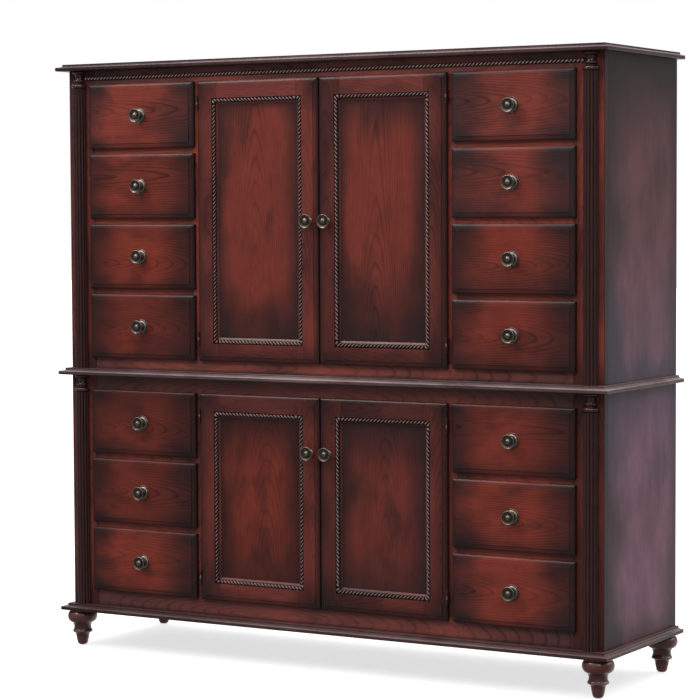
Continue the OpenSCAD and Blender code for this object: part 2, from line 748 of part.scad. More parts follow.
module door_hinges(t) {
    color(BRONZE) for (z = hinge_zs(t)) translate([0, 0, z]) door_leaf();
}

// The frame's half of a hinge: two end knuckles, and leaves round the divider's edge
module frame_leaf() {
    end_l = (hinge_l - knuckle_l) / 2 - knuckle_gap;
    gap_y = -leaf_t - seam / 2;
    side_x = door_open - seam / 2;
    for (s = [-1, 1]) translate([0, 0, s * (hinge_l - end_l) / 2]) {
        translate([hinge_x, hinge_y, 0]) knuckle(end_l);
        leaf_leg(end_l, gap_y + leaf_t);
        translate([side_x - leaf_t, gap_y, -end_l / 2]) cube([leg_x - side_x + leaf_t, leaf_t, end_l]);
        translate([side_x - leaf_t, gap_y, -end_l / 2]) cube([leaf_t, frame_t - gap_y, end_l]);
    }
}

// A hinge's pin with a round tip at each end
module hinge_pin() {
    tip_r = barrel_d / 2;
    translate([hinge_x, hinge_y, 0]) {
        cylinder(d = pin_d, h = hinge_l + tip_r, center = true);
        for (s = [-1, 1]) translate([0, 0, s * (hinge_l / 2 + tip_r * 0.9 + seam)]) sphere(r = tip_r);
    }
}

module frame_hinges() {
    color(BRONZE) both() for (t = [0, 1], z = hinge_zs(t)) translate([0, 0, z]) {
        frame_leaf();
        hinge_pin();
    }
}

placed() feet();
placed() base_moulding();
placed() lower_carcase();
placed() lower_face_frame();
placed() waist_moulding();
placed() upper_carcase();
placed() upper_face_frame();
placed() top_board();
placed() half_columns();
placed() frieze_rope();
placed() shelves();
placed() frame_hinges();
for (t = [0, 1], s = [-1, 1], row = [1 : tier_rows[t]]) {
    placed() sided(s) drawer(t, row);
    placed() sided(s) drawer_knob(t, row);
}
for (t = [0, 1], s = [-1, 1]) {
    placed() sided(s) door_frame(t);
    placed() sided(s) door_panel(t);
    placed() sided(s) door_rope(t);
    placed() sided(s) door_knob(t);
    placed() sided(s) door_hinges(t);
}
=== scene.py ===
"""Two-tier cherry dresser: wood finishes, turned and carved pieces, and a studio round the fixed frame."""

import json
import math

import bpy
import numpy as np
from mathutils import Matrix, Vector


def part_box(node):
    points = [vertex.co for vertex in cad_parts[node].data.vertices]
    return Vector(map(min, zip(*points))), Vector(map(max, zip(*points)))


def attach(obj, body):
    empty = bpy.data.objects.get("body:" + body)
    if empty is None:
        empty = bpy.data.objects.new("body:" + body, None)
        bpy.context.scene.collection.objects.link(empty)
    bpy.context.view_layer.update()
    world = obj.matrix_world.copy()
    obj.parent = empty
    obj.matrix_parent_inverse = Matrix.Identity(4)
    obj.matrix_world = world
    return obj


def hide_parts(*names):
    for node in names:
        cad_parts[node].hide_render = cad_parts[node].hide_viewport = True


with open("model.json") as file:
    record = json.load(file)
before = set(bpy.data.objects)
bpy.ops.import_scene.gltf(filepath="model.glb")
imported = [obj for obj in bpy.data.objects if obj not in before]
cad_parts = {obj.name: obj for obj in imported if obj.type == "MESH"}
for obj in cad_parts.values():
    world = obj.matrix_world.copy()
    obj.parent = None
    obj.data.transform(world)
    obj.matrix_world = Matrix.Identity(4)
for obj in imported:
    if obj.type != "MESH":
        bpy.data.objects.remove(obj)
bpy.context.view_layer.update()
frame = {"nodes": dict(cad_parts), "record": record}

MM = 0.001
TIERS = ("lower", "upper")
SIDES = ("left", "right")
DRAWERS = sorted(n for n in frame["nodes"] if "_drawer_" in n and not n.endswith("_knob"))
DOORS = [f"{tier}_{side}_door" for tier in TIERS for side in SIDES]
BODY_OF = {node: body for body, nodes in frame["record"]["behaviour"]["bodies"].items() for node in nodes}

# Sizes that the fine pieces share with the construction, in metres
SEAM = 0.2 * MM
FOOT_R = 42 * MM
COLUMN_R = 21.25 * MM
REEDS = 7
REED_R = 4.3 * MM
REED_STEPS = 10
CAPITAL_H = 49 * MM
BEAD_R = 1.1 * COLUMN_R
ROPE_W = 12 * MM
ROPE_H = 6 * MM
ROPE_VALLEY = 4.4 * MM
ROPE_PITCH = 11 * MM
KNOB_R = 18.5 * MM
KNOB_FOOT_R = 10 * MM
KNOB_LEN = 27 * MM
PLATE_R = 21 * MM
PLATE_H = 6.5 * MM
PLATE_T = 2 * MM
BARREL_R = 2.5 * MM
HINGE_L = 32 * MM
KNUCKLE_L = 8 * MM
KNUCKLE_GAP = 0.5 * MM
LEAF_T = 1 * MM
LEG_IN = 0.2 * MM
LEAF_GAP = 0.5 * MM
OVERLAP = 10 * MM
LEAF_SEAT = 13.2 * MM
FRAME_T = 19 * MM
RABBET_D = 8 * MM
PLATE_HOLE_R = 2.3 * MM
PLATE_PLAY = 0.2 * MM

FACE_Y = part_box("upper_face_frame")[0].y - SEAM / 2


class Graph:
    """The node tree of one material or world, with a short call for each node that it uses."""

    def __init__(self, owner):
        owner.use_nodes = True
        self.tree = owner.node_tree
        self.tree.nodes.clear()

    def node(self, kind, inputs=(), **settings):
        made = self.tree.nodes.new("ShaderNode" + kind)
        for key, value in settings.items():
            setattr(made, key, value)
        for key, value in dict(inputs).items():
            self.feed(made.inputs[key], value)
        return made

    def feed(self, socket, value):
        if isinstance(value, bpy.types.NodeSocket):
            self.tree.links.new(value, socket)
        else:
            socket.default_value = value

    def math(self, operation, *values, clamp=False):
        return self.node("Math", enumerate(values), operation=operation, use_clamp=clamp).outputs[0]

    def vector(self, operation, *values):
        return self.node("VectorMath", enumerate(values), operation=operation).outputs[0]

    def mix(self, factor, first, second, mode="MIX"):
        made = self.node("Mix", data_type="RGBA", blend_type=mode)
        for index, value in ((0, factor), (6, first), (7, second)):
            self.feed(made.inputs[index], value)
        return made.outputs[2]

    def ramp(self, value, low, high, to_low=0.0, to_high=1.0, smooth=True):
        kind = "SMOOTHSTEP" if smooth else "LINEAR"
        inputs = enumerate((value, low, high, to_low, to_high))
        return self.node("MapRange", inputs, interpolation_type=kind).outputs[0]

    def noise(self, vector, scale, detail=2.0, stretch=(1, 1, 1), roughness=0.5):
        stretched = self.vector("MULTIPLY", vector, stretch)
        inputs = {"Vector": stretched, "Scale": scale, "Detail": detail, "Roughness": roughness}
        return self.node("TexNoise", inputs).outputs[0]

    def place(self):
        return self.node("TexCoord").outputs["Object"]

    def attribute(self, name):
        return self.node("Attribute", attribute_name=name).outputs["Fac"]

    def bump(self, height, distance, strength=1.0):
        inputs = {"Height": height, "Distance": distance, "Strength": strength}
        return self.node("Bump", inputs).outputs[0]

    def surface(self, **sockets):
        shader = self.node("BsdfPrincipled")
        for key, value in sockets.items():
            self.feed(shader.inputs[key.replace("_", " ")], value)
        out = self.node("OutputMaterial")
        self.tree.links.new(shader.outputs[0], out.inputs["Surface"])


def new_material(name, colour):
    """A material and its graph. The colour is the plain one, for a view without shading."""
    material = bpy.data.materials.new(name)
    material.diffuse_color = (*colour, 1)
    return material, Graph(material)


# How a board's own axes turn so that its grain lies along x
TURNS = {"x": (0, 0, 0), "y": (0, 0, -math.pi / 2), "z": (0, math.pi / 2, 0)}
# Growth lines in a metre of the trunk's radius, and steps that spread the boards over the wood
RING_DENSITY = 170
LUCKY = (0.6180, 0.3819, 0.7548)
# How far a stain may go past its bright colour, the least brightness of a corner, how uneven the
# fades are, and how rubbed a metal is that has no attribute for it
OVERGLOW = 1.6
CORNER_LEAST = 0.25
UNEVENNESS = 0.7
EVEN_RUB = 0.75


def figure(g, along, centre, seed):
    """The figure of a flat-sawn board: growth lines, fibre, pores, mottle, clouds and smudges. All sizes
    are in metres, the scales of the noises are per metre, and the seed picks the board."""
    luck = [(seed * step) % 1 - 0.5 for step in LUCKY]
    local = g.vector("SUBTRACT", g.place(), tuple(centre))
    board = g.node("Mapping", {"Vector": local, "Rotation": TURNS[along]}).outputs[0]
    shifted = g.vector("ADD", board, (luck[0] * 3, luck[1] * 0.4, luck[2] * 0.4))
    wave = g.noise(shifted, 3.0, 1.0, (0.4, 1, 1))
    ripple = g.noise(shifted, 16.0, 2.0, (0.25, 1, 1))
    x, y, z = g.node("SeparateXYZ", {0: board}).outputs
    heart = g.math("ADD", y, 0.035 + 0.03 * luck[1])
    rise = g.math("MULTIPLY_ADD", x, 0.1 + 0.1 * luck[2], 0.05 * luck[0])
    swing = g.math("MULTIPLY_ADD", wave, 0.05, -0.025)
    deep = g.math("ADD", g.math("ADD", heart, rise), swing)
    wide = g.math("ADD", z, 0.06 * luck[2])
    radius = g.math("SQRT", g.math("ADD", g.math("POWER", deep, 2.0), g.math("POWER", wide, 2.0)))
    turn = g.math("FRACT", g.math("MULTIPLY", g.math("MULTIPLY_ADD", ripple, 0.006, radius), RING_DENSITY))
    line = g.math("MULTIPLY", g.ramp(turn, 0.62, 0.93), g.ramp(turn, 0.94, 1.0, 1.0, 0.0))
    fibre = g.noise(shifted, 480.0, 3.0, (0.018, 1, 1), 0.7)
    pore = g.ramp(g.noise(shifted, 900.0, 1.0, (0.05, 1, 1)), 0.58, 0.72)
    mottle = g.noise(shifted, 26.0, 3.0, (0.5, 1, 1), 0.6)
    cloud = g.noise(shifted, 7.0, 2.0, (0.6, 1, 1))
    smudge = g.ramp(g.noise(shifted, 13.0, 3.0, (0.4, 1, 1), 0.55), 0.5, 0.68)
    return line, fibre, pore, mottle, cloud, smudge


def wood(name, along, dark, bright, centre=(0, 0, 0), edge_fades=(), corners=(), seed=0, marks=0.45,
         gloss=0.36, coat=0.1, glow=1.0, specular=0.3, painted_sheen=None, smear=0.45):
    """Stained wood with its grain along one axis. The edge fades, each (axis, edge, inside, least), take the
    colour from the least brightness at the edge to the whole at the inside place; mostly they are burnish,
    and on the mouldings and the panels' rims they are painted highlight and shade. Corners holds (axis,
    edge, inside) and darkens only where both axes are near an edge. Marks is how dark the growth lines are,
    glow how far the whole brightness goes, and smear how dark the smudges are. The painted sheen holds
    (colour, none, full): a painted reflection on the sides, and a painted highlight on the mouldings' tops,
    which grows between two heights."""
    material, g = new_material(name, bright)
    line, fibre, pore, mottle, cloud, smudge = figure(g, along, centre, seed)
    x, y, z = g.node("SeparateXYZ", {0: g.place()}).outputs
    axes = {"x": x, "y": y, "z": z}
    level = g.ramp(cloud, 0.3, 0.7, 0.7 * glow, 1.3 * glow)
    level = g.math("MULTIPLY", level, g.math("MULTIPLY_ADD", smudge, -smear, 1.0))

    def fade(axis, edge, inside, least):
        unevenness = abs(inside - edge) * UNEVENNESS
        jitter = g.math("MULTIPLY_ADD", cloud, unevenness, -unevenness / 2)
        return g.ramp(g.math("ADD", axes[axis], jitter), edge, inside, least, 1.0)

    for edge in edge_fades:
        level = g.math("MULTIPLY", level, fade(*edge))
    near = {}
    for axis, edge, inside in corners:
        away = fade(axis, edge, inside, 0.0)
        near[axis] = g.math("MULTIPLY", near[axis], away) if axis in near else away
    if near:
        inward = g.math("MAXIMUM", *near.values())
        level = g.math("MULTIPLY", level, g.math("MULTIPLY_ADD", inward, 1 - CORNER_LEAST, CORNER_LEAST))
    level = g.math("MAXIMUM", g.math("MINIMUM", level, OVERGLOW), 0.0)
    stain = g.mix(level, (*dark, 1), (*bright, 1))
    # Painted reflection over the sides, and a painted highlight on the mouldings' tops, added between two
    # heights.
    if painted_sheen:
        stain = g.mix(g.ramp(z, painted_sheen[1], painted_sheen[2]), stain, (*painted_sheen[0], 1), "ADD")
    strength = g.ramp(cloud, 0.35, 0.65, marks, marks * 0.4)
    tone = g.math("SUBTRACT", 1.0, g.math("MULTIPLY", strength, line))
    tone = g.math("MULTIPLY", tone, g.ramp(fibre, 0.3, 0.72, 1.14, 0.86, smooth=False))
    tone = g.math("MULTIPLY", tone, g.ramp(mottle, 0.3, 0.7, 0.88, 1.12, smooth=False))
    tone = g.math("MULTIPLY", tone, g.math("MULTIPLY_ADD", pore, -0.22, 1.0))
    shade = g.node("CombineColor", {0: tone, 1: tone, 2: tone}).outputs[0]
    colour = g.mix(1.0, stain, shade, "MULTIPLY")
    roughness = g.math("MULTIPLY_ADD", fibre, 0.16, gloss - 0.08)
    relief = g.math("SUBTRACT", g.math("MULTIPLY_ADD", line, -0.3, fibre), g.math("MULTIPLY", pore, 0.4))
    normal = g.bump(relief, 0.04 * MM, 0.5)
    g.surface(Base_Color=colour, Roughness=roughness, Normal=normal, Coat_Weight=coat, Coat_Roughness=0.18,
              Specular_IOR_Level=specular)
    return material


def carved_wood(name, dark, bright, attribute, gloss=0.3, coat=0.8):
    """Dark stained wood on turned and carved pieces, with a painted highlight where their attribute is high
    and painted shade in the hollows where it is low.
    """
    material, g = new_material(name, bright)
    place = g.place()
    crest = g.attribute(attribute)
    cloud = g.noise(place, 35.0, 3.0)
    fibre = g.noise(place, 500.0, 3.0, (1, 1, 0.05), 0.65)
    level = g.math("MULTIPLY", crest, g.math("MULTIPLY_ADD", cloud, 0.9, 0.35), clamp=True)
    stain = g.mix(level, (*dark, 1), (*bright, 1))
    streak = g.ramp(fibre, 0.3, 0.7, 1.1, 0.85, smooth=False)
    shade = g.node("CombineColor", {0: streak, 1: streak, 2: streak}).outputs[0]
    colour = g.mix(1.0, stain, shade, "MULTIPLY")
    roughness = g.math("MULTIPLY_ADD", cloud, 0.15, gloss - 0.07)
    g.surface(Base_Color=colour, Roughness=roughness, Normal=g.bump(fibre, 0.03 * MM, 0.4), Coat_Weight=coat,
              Coat_Roughness=0.08, Specular_IOR_Level=0.4)
    return material


def metal(name, dark, bright, attribute=None, gloss=0.3, metallic=1.0):
    """Old metal: a dark patina that is rubbed bright where the attribute is high."""
    material, g = new_material(name, bright)
    place = g.place()
    cloud = g.noise(place, 260.0, 4.0, roughness=0.6)
    speck = g.noise(place, 1500.0, 2.0)
    rubbed = g.attribute(attribute) if attribute else EVEN_RUB
    level = g.math("MULTIPLY", rubbed, g.math("MULTIPLY_ADD", cloud, 1.0, 0.45), clamp=True)
    colour = g.mix(level, (*dark, 1), (*bright, 1))
    roughness = g.math("MULTIPLY_ADD", cloud, 0.22, gloss - 0.08)
    g.surface(Base_Color=colour, Roughness=roughness, Metallic=metallic,
              Normal=g.bump(speck, 0.02 * MM, 0.35))
    return material


def box_centre(low, high):
    return (Vector(low) + Vector(high)) / 2


def solids(obj):
    """The separate solids in a node's mesh: each solid's faces, lowest corner and highest corner."""
    mesh = obj.data
    points = np.empty(len(mesh.vertices) * 3)
    mesh.vertices.foreach_get("co", points)
    points = points.reshape(-1, 3)
    same = np.unique(np.round(points, 5), axis=0, return_inverse=True)[1].ravel()
    corners = np.empty(len(mesh.loops), int)
    mesh.loops.foreach_get("vertex_index", corners)
    starts = np.empty(len(mesh.polygons), int)
    mesh.polygons.foreach_get("loop_start", starts)
    counts = np.empty(len(mesh.polygons), int)
    mesh.polygons.foreach_get("loop_total", counts)
    first = np.repeat(same[corners[starts]], counts)
    label = np.arange(same.max() + 1)
    while True:
        lower = label.copy()
        shared = np.minimum(lower[first], lower[same[corners]])
        np.minimum.at(lower, first, shared)
        np.minimum.at(lower, same[corners], shared)
        lower = lower[lower]
        if (lower == label).all():
            break
        label = lower
    face_label = label[same[corners[starts]]]
    point_label = label[same]
    return [(np.flatnonzero(face_label == one), Vector(points[point_label == one].min(0)),
             Vector(points[point_label == one].max(0))) for one in np.unique(face_label)]


def soften(obj, width):
    """Joins the node's faces, rounds its sharp edges and evens its shading, without touching its mesh."""
    obj.modifiers.new("join", "WELD").merge_threshold = 0.01 * MM
    plain = obj.modifiers.new("plain_faces", "DECIMATE")
    plain.decimate_type = "DISSOLVE"
    plain.angle_limit = math.radians(0.5)
    edge = obj.modifiers.new("round_edges", "BEVEL")
    edge.width = width
    edge.segments = 2
    edge.limit_method = "ANGLE"
    edge.angle_limit = math.radians(32)
    edge.harden_normals = True


def dress(node, choose, edge=0.5 * MM):
    """Gives each solid of a node the material that choose(low, high) returns for its box."""
    obj = frame["nodes"][node]
    obj.data.materials.clear()
    index = np.zeros(len(obj.data.polygons), int)
    known = []
    for faces, low, high in solids(obj):
        material = choose(low, high)
        if material not in known:
            known.append(material)
            obj.data.materials.append(material)
        index[faces] = known.index(material)
    obj.data.polygons.foreach_set("material_index", index)
    soften(obj, edge)


def arc(cx, cy, rx, ry, first, last, steps):
    """Points on an arc, with its angles in degrees."""
    turn = [math.radians(first + (last - first) * i / steps) for i in range(steps + 1)]
    return [(cx + rx * math.cos(a), cy + ry * math.sin(a)) for a in turn]


def piece(name, points, faces, material, body, node, crest=None, sharp=38):
    """A mesh piece in the shared frame that rides on a body and stands for a node."""
    mesh = bpy.data.meshes.new(name)
    mesh.from_pydata([tuple(p) for p in points], [], faces)
    mesh.validate()
    mesh.shade_smooth()
    mesh.set_sharp_from_angle(angle=math.radians(sharp))
    mesh.materials.append(material)
    if crest is not None:
        mesh.attributes.new("crest", "FLOAT", "POINT").data.foreach_set("value", np.array(crest, np.float32))
    obj = bpy.data.objects.new(name, mesh)
    bpy.context.scene.collection.objects.link(obj)
    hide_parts(node)
    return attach(obj, body)


# The reach over which a turned piece's hollows and ridges are told, and how strongly they are told
CREST_REACH = 2.5 * MM
CREST_GAIN = 1.6
# The crest of flat pieces
FLAT_CREST = 0.6


def crests(outline, reach):
    """How convex an outline is at each point, from 0 in a hollow to 1 on a ridge, over a reach in metres."""
    line = [Vector(p) for p in outline]
    steps = [(b - a).length for a, b in zip(line, line[1:])]
    along = np.concatenate([[0], np.cumsum(steps)])
    xs = np.array([p.x for p in line])
    ys = np.array([p.y for p in line])
    values = []
    for s, x, y in zip(along, xs, ys):
        ahead, behind = min(s + reach, along[-1]), max(s - reach, 0)
        middle = Vector(((np.interp(ahead, along, xs) + np.interp(behind, along, xs)) / 2,
                         (np.interp(ahead, along, ys) + np.interp(behind, along, ys)) / 2))
        chord = Vector((np.interp(ahead, along, xs) - np.interp(behind, along, xs),
                        np.interp(ahead, along, ys) - np.interp(behind, along, ys)))
        bulge = (Vector((x, y)) - middle).cross(chord) / max(chord.length, 1e-9)
        values.append(min(max(0.5 + CREST_GAIN * bulge / reach, 0), 1))
    return values


def lathe(outline, around, start=0.0, sweep=360.0):
    """Points and faces of an outline of (radius, height) turned round z. The outline runs from the bottom
    outwards and up, and a part turn is closed by a flat face."""
    whole = sweep >= 360
    columns = around if whole else around + 1
    points, rows = [], []
    for radius, height in outline:
        if radius < 1e-7 and whole:
            rows.append([len(points)] * columns)
            points.append((0, 0, height))
        else:
            rows.append(list(range(len(points), len(points) + columns)))
            for i in range(columns):
                a = math.radians(start + sweep * i / around)
                points.append((radius * math.cos(a), radius * math.sin(a), height))
    faces = []
    for low, high in zip(rows, rows[1:]):
        for i in range(around):
            j = (i + 1) % columns
            face = list(dict.fromkeys((low[i], low[j], high[j], high[i])))
            if len(face) > 2:
                faces.append(face)
    if not whole:
        faces.append([row[0] for row in rows] + [row[-1] for row in reversed(rows)])
    return points, faces, rows


def foot_outline():
    r, h = FOOT_R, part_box("feet")[1].z
    return ([(0, 0)]
            + arc(r * 0.14, h * 0.12, r * 0.23, h * 0.12, 270, 350, 12)
            + arc(r * 0.64, h * 0.22, r * 0.21, h * 0.14, 180, 95, 14)
            + arc(r * 0.64, h * 0.39, r * 0.03, h * 0.02, 290, 430, 10)
            + arc(r * 0.69, h * 0.52, r * 0.11, h * 0.11, 250, 180, 12)
            + arc(r * 0.82, h * 0.52, r * 0.24, h * 0.14, 180, 97, 14)
            + arc(r * 0.59, h * 0.815, r * 0.41, h * 0.185, 300, 410, 30)
            + [(r * 0.84, h), (0, h)])


def turned(name, outline, origin, axis, around, material, body, node, start=0.0, sweep=360.0):
    """A turned piece whose own z lies along axis from origin."""
    points, faces, rows = lathe(outline, around, start, sweep)
    level = crests(outline, CREST_REACH)
    crest = [0.0] * len(points)
    for value, row in zip(level, rows):
        for i in row:
            crest[i] = value
    turn = Vector((0, 0, 1)).rotation_difference(Vector(axis)).to_matrix()
    placed = [Vector(origin) + turn @ Vector(p) for p in points]
    piece(name, placed, faces, material, body, node, crest)


def make_feet(material):
    low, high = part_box("feet")
    outline = foot_outline()
    for front, y in (("front", low.y + FOOT_R), ("back", high.y - FOOT_R)):
        for side, x in (("left", low.x + FOOT_R), ("right", high.x - FOOT_R)):
            turned(f"turned_foot_{front}_{side}", outline, (x, y, 0), (0, 0, 1), 72, material,
                   "case", "feet")


def reeded_outline():
    """Half of the reeded column, from its right edge round the front to its left edge."""
    reed_at = COLUMN_R - REED_R
    half_step = math.pi / REEDS / 2
    valley = reed_at * math.cos(half_step) + math.sqrt(REED_R ** 2 - (reed_at * math.sin(half_step)) ** 2)
    spread = math.atan2(valley * math.sin(half_step), valley * math.cos(half_step) - reed_at)
    points = []
    for i in range(REEDS):
        middle = -math.pi * (i + 0.5) / REEDS
        for k in range(REED_STEPS + 1):
            off = spread * (1 - 2 * k / REED_STEPS)
            x = reed_at * math.cos(middle) + REED_R * math.cos(middle + off)
            y = reed_at * math.sin(middle) + REED_R * math.sin(middle + off)
            height = math.cos(off) - math.cos(spread)
            points.append((x, min(y, -SEAM / 2), height / (1 - math.cos(spread))))
    return points


def make_column(tier, side, x, low_z, high_z, shaft_wood, capital_wood):
    """A reeded half column against the face frame, with its turned capital on top."""
    shaft_z = high_z - CAPITAL_H
    outline = reeded_outline()
    count = len(outline)
    points = [(x + p[0], FACE_Y + p[1], z) for z in (low_z + SEAM / 2, shaft_z - SEAM) for p in outline]
    faces = [[i, (i + 1) % count, count + (i + 1) % count, count + i] for i in range(count)]
    faces = [face[::-1] for face in faces] + [list(range(count)), list(range(2 * count - 1, count - 1, -1))]
    piece(f"{tier}_{side}_reeded_column", points, faces, shaft_wood, "case",
          "half_columns", [p[2] for p in outline] * 2)
    turned(f"{tier}_{side}_capital", capital_outline(), (x, FACE_Y - SEAM / 2, shaft_z), (0, 0, 1), 56,
           capital_wood, "case", "half_columns", 180, 180)


def capital_outline():
    r, h, bead = COLUMN_R, CAPITAL_H - SEAM / 2, BEAD_R
    return ([(0, 0)]
            + arc(bead * 0.82, h * 0.13, bead * 0.18, h * 0.11, 260, 450, 18)
            + arc(r * 0.72, h * 0.28, r * 0.06, h * 0.02, 270, 450, 8)
            + arc(r * 0.62, h * 0.43, r * 0.20, h * 0.09, 260, 450, 16)
            + arc(r * 0.96, h * 0.57, r * 0.38, h * 0.26, 180, 105, 14)
            + arc(r * 0.96, h * 0.91, r * 0.04, h * 0.05, 270, 450, 10)
            + [(r * 0.90, h), (0, h)])


def slab(name, low, high, edge, material, body, node):
    """A board between two corners with rounded edges."""
    points = [(x, y, z) for z in (low[2], high[2]) for y in (low[1], high[1]) for x in (low[0], high[0])]
    faces = [(0, 2, 3, 1), (4, 5, 7, 6), (0, 1, 5, 4), (1, 3, 7, 5), (3, 2, 6, 7), (2, 0, 4, 6)]
    obj = piece(name, points, faces, material, body, node, [FLAT_CREST] * 8)
    rounded = obj.modifiers.new("round_edges", "BEVEL")
    rounded.width = edge
    rounded.segments = 3
    rounded.harden_normals = True
    return obj


# Rows along one strand, points across the rope, its width in a valley as a share of the whole, and the
# strands over which the lean turns at a corner
ROPE_ROWS = 10
ROPE_ACROSS = 10
ROPE_NECK = 0.78
ROPE_TURN = 4


def rope_ring(phase):
    """One row across the rope: (across, height, crest), low in a valley and high on a strand. The crest,
    sharpened to a dot at the top of each strand, places a painted highlight and the valleys' painted shade.
    """
    bulge = abs(math.sin(math.pi * phase / 2)) ** 0.85
    width = (ROPE_W - SEAM) / 2 * (ROPE_NECK + (1 - ROPE_NECK) * bulge)
    height = ROPE_H - ROPE_VALLEY * (1 - bulge)
    turns = [math.pi * i / ROPE_ACROSS for i in range(ROPE_ACROSS + 1)]
    return [(-width * math.cos(a), height * math.sin(a) ** 0.8, (bulge * math.sin(a)) ** 5) for a in turns]


def rope_run(start, direction, length, last, close):
    """Rows of points (x, z, height) and crests along one stretch. The strands lean at 45 degrees, and over
    the last two strands the lean goes to the value last."""
    halves = 2 * round(length / ROPE_PITCH)
    rows = halves * ROPE_ROWS // 2
    across = (-direction[1], direction[0])
    points, crest = [], []
    for k in range(rows + (1 if close else 0)):
        phase = 2 * k / ROPE_ROWS
        left = halves - phase
        lean = last + (1 - last) * left / ROPE_TURN if left < ROPE_TURN else 1
        if close and phase < ROPE_TURN:
            lean = phase / ROPE_TURN
        for p, height, value in rope_ring(phase):
            run = length * k / rows + lean * p
            points.append((start[0] + direction[0] * run + across[0] * p,
                           start[1] + direction[1] * run + across[1] * p, height))
            crest.append(value)
    return points, crest


def rope_faces(rows, closed):
    width = ROPE_ACROSS + 1
    faces = []
    for k in range(rows if closed else rows - 1):
        a, b = width * k, width * ((k + 1) % rows)
        faces += [(a + i, a + (i + 1) % width, b + (i + 1) % width, b + i) for i in range(width)]
    return faces


def lay_rope(name, points, crest, faces, seat_y, material, body, node, hand=1):
    placed = [(hand * x, seat_y - height, z) for x, z, height in points]
    if hand < 0:
        faces = [face[::-1] for face in faces]
    piece(name, placed, faces, material, body, node, crest, sharp=60)


def make_door_rope(door, material):
    node = door + "_rope"
    low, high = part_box(node)
    inset = (ROPE_W - SEAM) / 2
    w, h = high.x - low.x - 2 * inset, high.z - low.z - 2 * inset
    hand = 1 if "_right_" in door else -1
    x, z = min(abs(low.x), abs(high.x)) + inset, low.z + inset
    points, crest = [], []
    corners = ((x, z), (x + w, z), (x + w, z + h), (x, z + h))
    for start, direction, length in zip(corners, ((1, 0), (0, 1), (-1, 0), (0, -1)), (w, h, w, h)):
        run, values = rope_run(start, direction, length, -1, False)
        points += run
        crest += values
    faces = rope_faces(len(points) // (ROPE_ACROSS + 1), True)
    lay_rope(door + "_rope_moulding", points, crest, faces, high.y, material, BODY_OF[node], node, hand)


def make_frieze_rope(material):
    low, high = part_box("frieze_rope")
    points, crest = rope_run((low.x, (low.z + high.z) / 2), (1, 0), high.x - low.x, 0, True)
    width = ROPE_ACROSS + 1
    rows = len(points) // width
    faces = rope_faces(rows, False)
    faces += [tuple(range(width - 1, -1, -1)), tuple(range(width * (rows - 1), width * rows))]
    lay_rope("frieze_rope_moulding", points, crest, faces, high.y, material, "case", "frieze_rope")


def knob_outline():
    r, f, h = KNOB_R, KNOB_FOOT_R, KNOB_LEN
    return ([(0, 0), (f, 0), (f, h * 0.06)]
            + arc(f, h * 0.40, f * 0.36, h * 0.32, 262, 180, 14)
            + arc(r, h * 0.46, r - f * 0.64, h * 0.32, 180, 105, 18)
            + arc(r * 0.94, h * 0.84, r * 0.06, h * 0.05, 280, 440, 16)
            + arc(r * 0.48, h * 0.87, r * 0.40, h * 0.10, 360, 280, 18)
            + [(r * 0.47, h * 0.79), (r * 0.455, h * 0.835), (r * 0.44, h * 0.845), (r * 0.40, h * 0.848)]
            + arc(0, h * 0.84, r * 0.37, h * 0.16, 8, 90, 16))


def plate_outline():
    p, h = PLATE_R, PLATE_H
    well, hole = KNOB_FOOT_R + PLATE_PLAY, PLATE_HOLE_R
    return ([(hole, 0), (p, 0)]
            + arc(p * 0.96, h * 0.18, p * 0.04, h * 0.16, 0, 150, 12)
            + [(p * 0.915, h * 0.21), (p * 0.905, h * 0.22)]
            + arc(well + 1 * MM, h * 0.26, p * 0.88 - well - 1 * MM, h * 0.74, 0, 90, 20)
            + [(well, h * 0.94), (well, PLATE_T), (hole, PLATE_T)])


def make_knob(owner, material):
    """A knob with its screw, and on a drawer its backplate too."""
    node = owner + "_knob"
    low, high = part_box(node)
    body = BODY_OF[node]
    middle = box_centre(low, high)
    origin = (middle.x, low.y + KNOB_LEN, middle.z)
    turned(owner + "_turned_knob", knob_outline(), origin, (0, -1, 0), 56, material, body,
           node)
    turned(owner + "_knob_screw", screw_outline(high.y - origin[1]), origin, (0, 1, 0), 20, material,
           body, node)
    if owner in DRAWERS:
        wood_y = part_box(owner)[0].y
        turned(owner + "_backplate", plate_outline(), (middle.x, wood_y - SEAM / 2, middle.z), (0, -1, 0),
               64, material, body, node)


def screw_outline(length):
    shaft, head, cap = 2 * MM, 4.5 * MM, 3 * MM
    return [(0, 0), (shaft, 0), (shaft, length - cap), (head, length - cap), (head, length - cap / 2),
            (head * 0.7, length), (0, length)]


def barrel(name, x, y, low_z, high_z, material, body, node):
    """A knuckle of a hinge with slightly rounded ends."""
    r, edge, length = BARREL_R, 0.4 * MM, high_z - low_z
    outline = [(0, 0), (r - edge, 0), (r, edge), (r, length - edge), (r - edge, length), (0, length)]
    turned(name, outline, (x, y, low_z), (0, 0, 1), 32, material, body, node)


